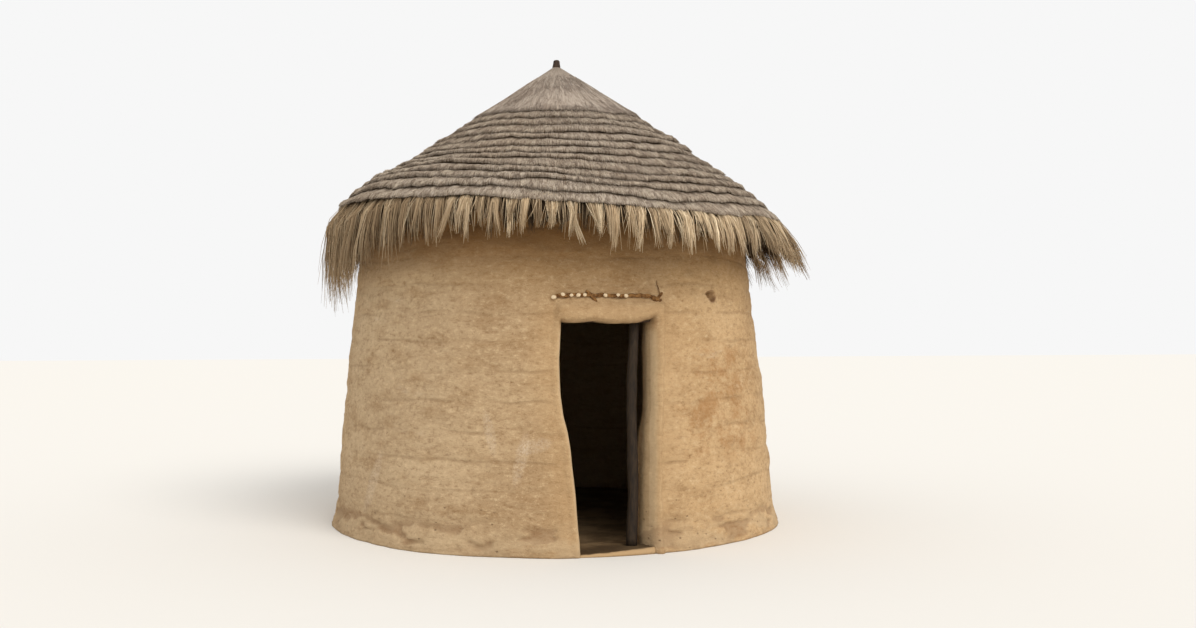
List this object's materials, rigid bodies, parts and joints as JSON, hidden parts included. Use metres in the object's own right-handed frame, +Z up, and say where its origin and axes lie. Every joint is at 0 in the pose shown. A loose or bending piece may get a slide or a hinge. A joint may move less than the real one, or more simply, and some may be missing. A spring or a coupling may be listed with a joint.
{
  "type": "rondavel hut",
  "caption": "Round hut of coursed earth with a keyhole doorway under a conical roof of lapped thatch with a hanging straw fringe.",
  "frame": {"origin": "on the ground at the hut's vertical axis", "axes": "+Z up, the doorway faces -Y, +X to the right of someone who looks at the doorway"},
  "size_m": [4.4028, 4.3625, 4.1819],
  "materials": {
    "earth_wall": "matt",
    "earth_trim": "matt",
    "earth_floor": "matt",
    "shell_set_earth": "matt",
    "thatch": "matt",
    "straw_fringe": "matt",
    "roof_poles": "matt",
    "withy_hoops": "matt",
    "lintel_wood": "matt",
    "peeled_pole": "satin",
    "apex_wood": "matt"
  },
  "bodies": {
    "root": {"wall_left_of_door": "earth_wall", "wall_right_of_door": "earth_wall", "wall_over_door": "earth_wall", "wall_1": "earth_wall", "wall_2": "earth_wall", "wall_3": "earth_wall", "wall_4": "earth_wall", "wall_5": "earth_wall", "wall_6": "earth_wall", "wall_7": "earth_wall", "wall_8": "earth_wall", "wall_9": "earth_wall", "door_band_left": "earth_trim", "door_band_right": "earth_trim", "door_band_head": "earth_trim", "earth_floor": "earth_floor", "threshold": "earth_floor", "shell_ridge": "shell_set_earth", "thatch_ring_1": "thatch", "thatch_ring_2": "thatch", "thatch_ring_3": "thatch", "thatch_ring_4": "thatch", "thatch_ring_5": "thatch", "thatch_ring_6": "thatch", "thatch_ring_7": "thatch", "thatch_ring_8": "thatch", "thatch_ring_9": "thatch", "thatch_ring_10": "thatch", "thatch_ring_11": "thatch", "thatch_ring_12": "thatch", "thatch_cap": "thatch", "eave_fringe": "straw_fringe", "main_rafters": "roof_poles", "jack_rafters": "roof_poles", "hoop_1": "withy_hoops", "hoop_2": "withy_hoops", "hoop_3": "withy_hoops", "hoop_4": "withy_hoops", "hoop_5": "withy_hoops", "hoop_6": "withy_hoops", "lintel_poles": "lintel_wood", "door_post": "peeled_pole", "apex_log": "apex_wood"}
  },
  "joints": []
}
